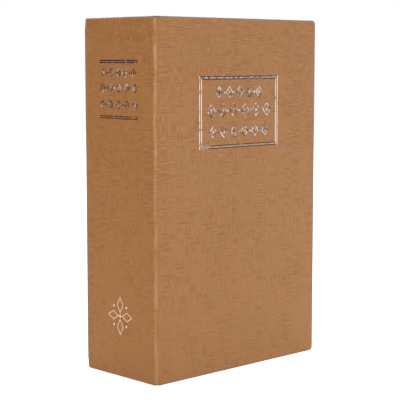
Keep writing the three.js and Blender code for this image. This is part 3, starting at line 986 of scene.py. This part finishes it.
fill_from_edge = (panel_step + foil_line) / 2
fill_height = panel_step - foil_line - 2 * fill_gap
top_fill = foil_bar((middle_x, panel_top - fill_from_edge), wide, fill_height)
foot_fill.append(foil_bar((middle_x, panel_foot + fill_from_edge), wide, fill_height))
stamped("front_panel_sides", upright_bars, front_face, "y", "front_cover", whole_foil)
stamped("front_panel_top", top_bars, front_face, "y", "front_cover", dark_foil)
stamped("front_panel_fill", [top_fill], front_face, "y", "front_cover", speckled_foil)
stamped("front_panel_foot", foot_bars, front_face, "y", "front_cover", dark_foil)
stamped("front_panel_foot_fill", foot_fill, front_face, "y", "front_cover", dull_foil)

front_bead = 0.0006
front_rows = (
    (0.1429, 5, 0.034, 0.0026, 0.0031),
    (0.1338, 6, 0.0463, 0.0031, 0.0036),
    (0.1231, 6, 0.0428, 0.0027, 0.0032),
)
for number, (z, count, width, half_width, half_height) in enumerate(front_rows, 1):
    row = lozenge_row(middle_x, z, count, width, half_width, half_height, front_bead)
    stamped(f"front_lozenges_{number}", row, front_face, "y", "front_cover", broken_foil)

# Spine foil: two pairs of rules with three rows of lozenges between them, and near the tail a rosette of
# four lozenges. The rules took the foil badly and look dark.

rule_length = 0.0292
upper_rule, lower_rule = foil_line * 1.35, foil_line * 1.05
spine_rules = []
for z, line in (
    (0.15885, upper_rule),
    (0.15785, upper_rule),
    (0.1313, lower_rule),
    (0.1303, lower_rule),
):
    spine_rules.append(foil_bar((0, z), rule_length, line))
stamped("spine_rules", spine_rules, spine_face, "x", "book", dark_foil)

spine_half_width, spine_half_height, spine_bead = 0.0021, 0.0024, 0.0005
for number, (z, width) in enumerate(((0.1527, 0.0268), (0.1453, 0.029), (0.137, 0.029)), 1):
    row = lozenge_row(0, z, 5, width, spine_half_width, spine_half_height, spine_bead)
    stamped(f"spine_lozenges_{number}", row, spine_face, "x", "book", worn_foil)

rosette = []
rosette_z = 0.0311
petal_out, petal_up = 0.0052, 0.0056
petal_long, petal_tall, petal_short = 0.004, 0.0042, 0.0024
petal_line = foil_line * 0.7
bead_out, bead_radius, middle_radius = 0.0048, 0.0006, 0.0008
for across, up in ((0, 1), (1, 0), (0, -1), (-1, 0)):
    petal = (across * petal_out, rosette_z + up * petal_up)
    half_width, half_height = (petal_short, petal_tall) if up else (petal_long, petal_short)
    rosette.append(foil_shape(4, petal, half_width, half_height, petal_line))
    bead = ((across + up) * bead_out, rosette_z + (up - across) * bead_out)
    rosette.append(foil_shape(12, bead, bead_radius, bead_radius, 0))
rosette.append(foil_shape(12, (0, rosette_z), middle_radius, middle_radius, 0))
stamped("spine_rosette", rosette, spine_face, "x", "book", cream_foil)

# Page frame: a base plate and rails of cream plastic. The three rails that show are ribbed along their
# length, and the finer lines between the ribs are the grain of the die that they were drawn through.

page_plastic, page_tree, page_shader, page_place = new_material("page_plastic", 0.6, specular=0.4)
page_lines = add_group(
    page_tree,
    grain,
    [("Vector", page_place), ("Stretch", (0.0006, 1, 0.0006)), ("Scale", 7500.0), ("Contrast", 0.5)],
)
two_tones(page_tree, page_shader, page_lines[0], (0.75, 0.655, 0.48), (0.88, 0.8, 0.635))
raised(page_tree, page_shader, page_lines[0], 0.00006)
dressed(
    ("page_base", "page_rail_tail", "page_rail_fore", "page_rail_head", "page_rail_spine"),
    page_plastic,
)

# Steel box: one sheet of 0.8 mm steel folded into a tray, with three of the hinge's knuckles rolled from
# its spine side, powder coated black. The coat has the fine ripple of orange peel.

powder_coat, coat_tree, coat_shader, coat_place = new_material("black_powder_coat", 0.42)
coat_ripple = add_group(
    coat_tree,
    grain,
    [("Vector", coat_place), ("Scale", 1100.0), ("Contrast", 0.5)],
)
two_tones(coat_tree, coat_shader, coat_ripple[0], (0.011, 0.011, 0.012), (0.02, 0.02, 0.021))
raised(coat_tree, coat_shader, coat_ripple[0], 0.00006)
finished_copy("steel_box", "steel_tray", "book", powder_coat, 30)

# Small steel parts: the four screws that hold the tray on the base plate, the hinge's pin, and the catch
# with its two rivets. They are zinc plated, which leaves them pale and slightly clouded.

zinc, zinc_tree, zinc_shader, zinc_place = new_material("zinc_plate", 0.34, metallic=1.0)
zinc_clouds = add_group(
    zinc_tree,
    grain,
    [("Vector", zinc_place), ("Scale", 420.0), ("Contrast", 0.4)],
)
two_tones(zinc_tree, zinc_shader, zinc_clouds[0], (0.42, 0.43, 0.44), (0.6, 0.61, 0.62))

for node in (
    "box_screw_tail_spine",
    "box_screw_tail_fore",
    "box_screw_head_spine",
    "box_screw_head_fore",
    "catch_plate",
    "catch_rivet_tail",
    "catch_rivet_head",
    "hinge_pin",
):
    finished_copy(node, node + "_plated", "book", zinc)

# Lid: the same sheet and coat as the tray, with its edges turned down and four knuckles at the hinge.

finished_copy("lid", "lid_panel", "lid", powder_coat, 30)

# Lock: a nickel-plated cam lock, with its flange, flatted body and nut on the lid. The plug turns in it
# with the cam, which a washer and a screw hold on the plug's square tail.

nickel, nickel_tree, nickel_shader, nickel_place = new_material("nickel_plate", 0.17, metallic=1.0)
nickel_haze = add_group(
    nickel_tree,
    grain,
    [("Vector", nickel_place), ("Scale", 600.0), ("Contrast", 0.3)],
)
two_tones(nickel_tree, nickel_shader, nickel_haze[0], (0.47, 0.46, 0.435), (0.58, 0.57, 0.54))

for node, body in (("lock_housing", "lid"), ("lock_nut", "lid"), ("lock_plug", "lock_core")):
    finished_copy(node, node + "_plated", body, nickel)
for node, body in (
    ("lock_washer", "lid"),
    ("cam", "lock_core"),
    ("cam_washer", "lock_core"),
    ("cam_screw", "lock_core"),
):
    finished_copy(node, node + "_plated", body, zinc)

# Last, the view layer is brought up to date.

bpy.context.view_layer.update()
